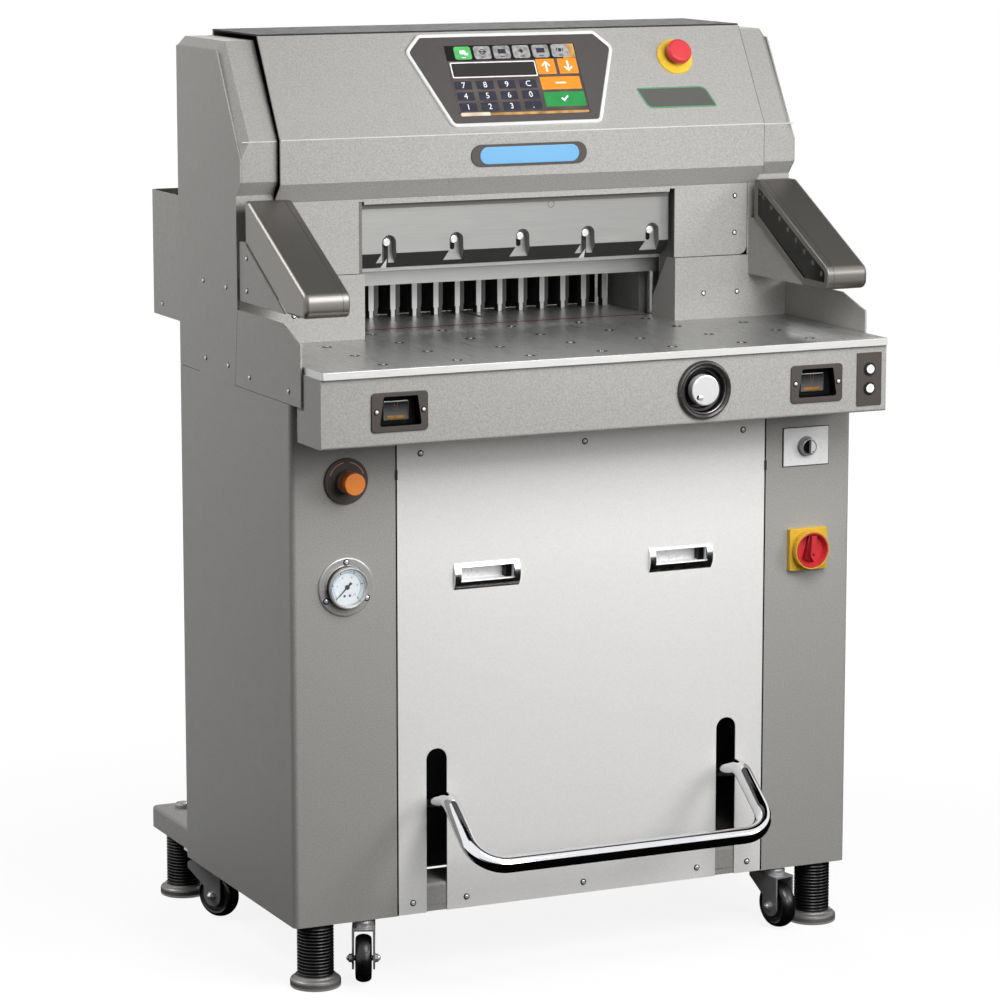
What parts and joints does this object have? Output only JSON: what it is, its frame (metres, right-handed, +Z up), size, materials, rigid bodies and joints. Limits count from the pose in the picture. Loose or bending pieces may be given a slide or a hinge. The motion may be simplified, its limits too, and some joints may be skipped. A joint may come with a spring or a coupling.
{
  "type": "paper cutter",
  "caption": "Floor-standing hydraulic paper guillotine with table, throat, light-curtain arms, touch console, back gauge, foot pedal, levelling feet and swivel casters.",
  "frame": {"origin": "middle of the machine's footprint on the floor", "axes": "+X to the operator's right, +Y to the back, +Z up"},
  "size_m": [0.9286, 1.061, 1.392],
  "materials": {
    "black_paint": "fine textured powder coat",
    "black_plastic": "fine grain",
    "blue_lens": "frosted",
    "cast_table": "ground",
    "castings": "painted",
    "chrome": "polished",
    "glass": "clear",
    "grey_paint": "fine textured powder coat",
    "grey_plastic": "fine grain",
    "light_paint": "fine textured powder coat",
    "orange_plastic": "smooth",
    "red_plastic": "smooth",
    "rubber": "smooth",
    "screen_glass": "glossy",
    "steel": "ground",
    "white_plastic": "smooth",
    "zinc": "zinc plated"
  },
  "bodies": {
    "machine": {"base_frame": "grey_paint", "levelling_feet": "black_plastic", "caster_races": "zinc", "side_covers": "grey_paint", "front_panel": "light_paint", "pull_handles": "chrome", "rear_cover": "grey_paint", "rear_guard": "grey_paint", "wing_plates": "grey_paint", "table_plate": "cast_table", "table_balls": "steel", "cutting_stick": "red_plastic", "frame_castings": "castings", "throat_covers": "grey_paint", "face_plate": "grey_paint", "hydraulic_unit": "castings", "front_beam": "grey_paint", "palm_switch_housings": "grey_plastic", "handwheel_bezel": "grey_plastic", "switch_plates": "grey_plastic", "air_controls": "steel", "gauge_glass": "glass", "console_housing": "grey_paint", "top_cover": "black_paint", "head_end_covers": "grey_paint", "screen_bezel": "white_plastic", "touch_screen": "screen_glass", "status_lamp": "blue_lens", "curtain_arms": "steel", "curtain_windows": "black_plastic", "arm_brackets": "steel"},
    "knife_carriage": {"knife_carrier": "castings", "knife_blade": "steel", "knife_bolts": "steel", "knife_pull_rods": "steel"},
    "clamp": {"clamp_beam": "grey_paint", "clamp_pull_rods": "steel"},
    "back_gauge": {"back_gauge": "steel"},
    "gauge_screw": {"gauge_screw": "steel"},
    "foot_pedal": {"foot_pedal": "chrome"},
    "handwheel": {"handwheel": "chrome"},
    "palm_paddle_left": {"palm_paddle_left": "black_plastic"},
    "palm_paddle_right": {"palm_paddle_right": "black_plastic"},
    "push_button_upper": {"push_button_upper": "white_plastic"},
    "push_button_lower": {"push_button_lower": "white_plastic"},
    "selector_knob": {"selector_knob": "grey_plastic"},
    "isolator_knob": {"isolator_knob": "red_plastic"},
    "regulator_knob": {"regulator_knob": "orange_plastic"},
    "gauge_needle": {"gauge_needle": "black_plastic"},
    "stop_stem": {"stop_stem": "steel"},
    "stop_button": {"stop_button": "red_plastic"},
    "caster_fork_front_left": {"caster_fork_front_left": "zinc"},
    "caster_wheel_front_left": {"caster_wheel_front_left": "rubber"},
    "caster_fork_front_right": {"caster_fork_front_right": "zinc"},
    "caster_wheel_front_right": {"caster_wheel_front_right": "rubber"},
    "caster_fork_rear_left": {"caster_fork_rear_left": "zinc"},
    "caster_wheel_rear_left": {"caster_wheel_rear_left": "rubber"},
    "caster_fork_rear_right": {"caster_fork_rear_right": "zinc"},
    "caster_wheel_rear_right": {"caster_wheel_rear_right": "rubber"}
  },
  "joints": [
    {"name": "knife_stroke", "type": "slide", "parent": "machine", "child": "knife_carriage", "axis": [0, 0, -1], "range_m": [0, 0.0908]},
    {"name": "clamp_stroke", "type": "slide", "parent": "machine", "child": "clamp", "axis": [0, 0, -1], "range_m": [0, 0.0678]},
    {"name": "gauge_travel", "type": "slide", "parent": "machine", "child": "back_gauge", "axis": [0, 1, 0], "range_m": [-0.09, 0.39]},
    {"name": "gauge_screw_turn", "type": "hinge", "parent": "machine", "child": "gauge_screw", "pos_m": [0.011, 0.0105, 0.914], "axis": [0, 1, 0], "range_deg": [-3241, 14041]},
    {"name": "pedal_hinge", "type": "hinge", "parent": "machine", "child": "foot_pedal", "pos_m": [0.008, -0.0475, 0.19], "axis": [1, 0, 0], "range_deg": [0, 15], "stiffness_Nm_per_rad": 60, "springref_deg": -28.65},
    {"name": "handwheel_turn", "type": "hinge", "parent": "machine", "child": "handwheel", "pos_m": [0.1498, -0.4742, 0.876], "axis": [0, -1, 0], "continuous": true},
    {"name": "palm_press_left", "type": "slide", "parent": "machine", "child": "palm_paddle_left", "axis": [0, 1, 0], "range_m": [0, 0.004], "stiffness_N_per_m": 800, "springref_m": -0.004},
    {"name": "palm_press_right", "type": "slide", "parent": "machine", "child": "palm_paddle_right", "axis": [0, 1, 0], "range_m": [0, 0.004], "stiffness_N_per_m": 800, "springref_m": -0.004},
    {"name": "button_press_upper", "type": "slide", "parent": "machine", "child": "push_button_upper", "axis": [0, 1, 0], "range_m": [0, 0.003], "stiffness_N_per_m": 400, "springref_m": -0.003},
    {"name": "button_press_lower", "type": "slide", "parent": "machine", "child": "push_button_lower", "axis": [0, 1, 0], "range_m": [0, 0.003], "stiffness_N_per_m": 400, "springref_m": -0.003},
    {"name": "selector_turn", "type": "hinge", "parent": "machine", "child": "selector_knob", "pos_m": [0.3843, -0.3653, 0.7608], "axis": [0, -1, 0], "range_deg": [-45, 45]},
    {"name": "isolator_turn", "type": "hinge", "parent": "machine", "child": "isolator_knob", "pos_m": [0.387, -0.3653, 0.6015], "axis": [0, -1, 0], "range_deg": [0, 90]},
    {"name": "regulator_turn", "type": "hinge", "parent": "machine", "child": "regulator_knob", "pos_m": [-0.3786, -0.3653, 0.7604], "axis": [0, -1, 0], "range_deg": [-1080, 1080]},
    {"name": "needle_turn", "type": "hinge", "parent": "machine", "child": "gauge_needle", "pos_m": [-0.3795, -0.3653, 0.604], "axis": [0, 1, 0], "range_deg": [0, 270]},
    {"name": "stop_press", "type": "slide", "parent": "machine", "child": "stop_stem", "axis": [0, 0.8577, -0.5141], "range_m": [0, 0.006]},
    {"name": "stop_twist", "type": "hinge", "parent": "stop_stem", "child": "stop_button", "pos_m": [0.2777, -0.12501, 1.34391], "axis": [0, -0.8577, 0.5141], "range_deg": [0, 45]},
    {"name": "caster_swivel_front_left", "type": "hinge", "parent": "machine", "child": "caster_fork_front_left", "pos_m": [-0.348, -0.3495, 0.086], "axis": [0, 0, 1], "continuous": true},
    {"name": "caster_roll_front_left", "type": "hinge", "parent": "caster_fork_front_left", "child": "caster_wheel_front_left", "pos_m": [-0.35166, -0.35772, 0.038], "axis": [0.9135, -0.4067, 0], "continuous": true},
    {"name": "caster_swivel_front_right", "type": "hinge", "parent": "machine", "child": "caster_fork_front_right", "pos_m": [0.348, -0.3495, 0.086], "axis": [0, 0, 1], "continuous": true},
    {"name": "caster_roll_front_right", "type": "hinge", "parent": "caster_fork_front_right", "child": "caster_wheel_front_right", "pos_m": [0.34956, -0.35836, 0.038], "axis": [0.9848, 0.1736, 0], "continuous": true},
    {"name": "caster_swivel_rear_left", "type": "hinge", "parent": "machine", "child": "caster_fork_rear_left", "pos_m": [-0.425, 0.0725, 0.086], "axis": [0, 0, 1], "continuous": true},
    {"name": "caster_roll_rear_left", "type": "hinge", "parent": "caster_fork_rear_left", "child": "caster_wheel_rear_left", "pos_m": [-0.42078, 0.06455, 0.038], "axis": [0.8829, 0.4695, 0], "continuous": true},
    {"name": "caster_swivel_rear_right", "type": "hinge", "parent": "machine", "child": "caster_fork_rear_right", "pos_m": [0.425, 0.0725, 0.086], "axis": [0, 0, 1], "continuous": true},
    {"name": "caster_roll_rear_right", "type": "hinge", "parent": "caster_fork_rear_right", "child": "caster_wheel_rear_right", "pos_m": [0.42267, 0.06381, 0.038], "axis": [0.9659, -0.2588, 0], "continuous": true}
  ],
  "couplings": [
    {"joint": "gauge_screw_turn", "follows": "gauge_travel", "rad_per_m": 628.32}
  ]
}
